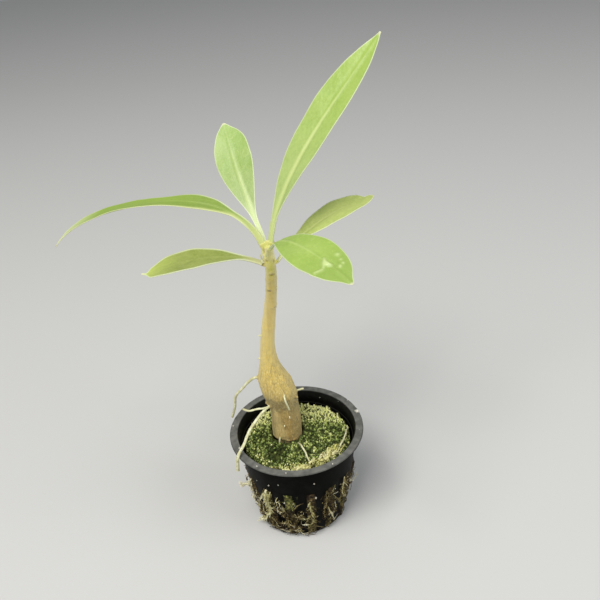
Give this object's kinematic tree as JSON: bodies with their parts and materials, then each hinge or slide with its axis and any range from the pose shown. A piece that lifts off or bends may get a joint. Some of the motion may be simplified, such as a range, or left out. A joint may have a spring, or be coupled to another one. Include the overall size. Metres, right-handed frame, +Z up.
{
  "type": "potted ant plant",
  "caption": "Young ant plant with a swollen stem base and paired leathery leaves, in moss in a slotted net pot.",
  "frame": {"origin": "centre of the pot's underside", "axes": "+Z up, -Y towards the side that the picture shows, +X to its right"},
  "size_m": [0.1239, 0.0856, 0.1928],
  "materials": {
    "pot_plastic": "moulded black plastic, satin, with a paler dusty lip",
    "sphagnum": "dead bog moss, straw to brown, with green patches",
    "moss": "living moss, dark green with yellow green tips",
    "stem_bark": "tan bark with fine lengthwise fissures",
    "leaf_bright": "smooth leathery leaf, light green with a pale midrib",
    "leaf_olive": "smooth leathery older leaf, yellow olive green"
  },
  "bodies": {
    "root": {"pot": "pot_plastic", "sphagnum_fill": "sphagnum", "moss_cushion": "moss", "caudex_stem": "stem_bark", "leaf_left_long": "leaf_bright", "leaf_right_long": "leaf_bright", "leaf_back_left": "leaf_bright", "leaf_front_right": "leaf_bright", "leaf_left_low": "leaf_olive", "leaf_back_right": "leaf_olive"}
  },
  "joints": []
}
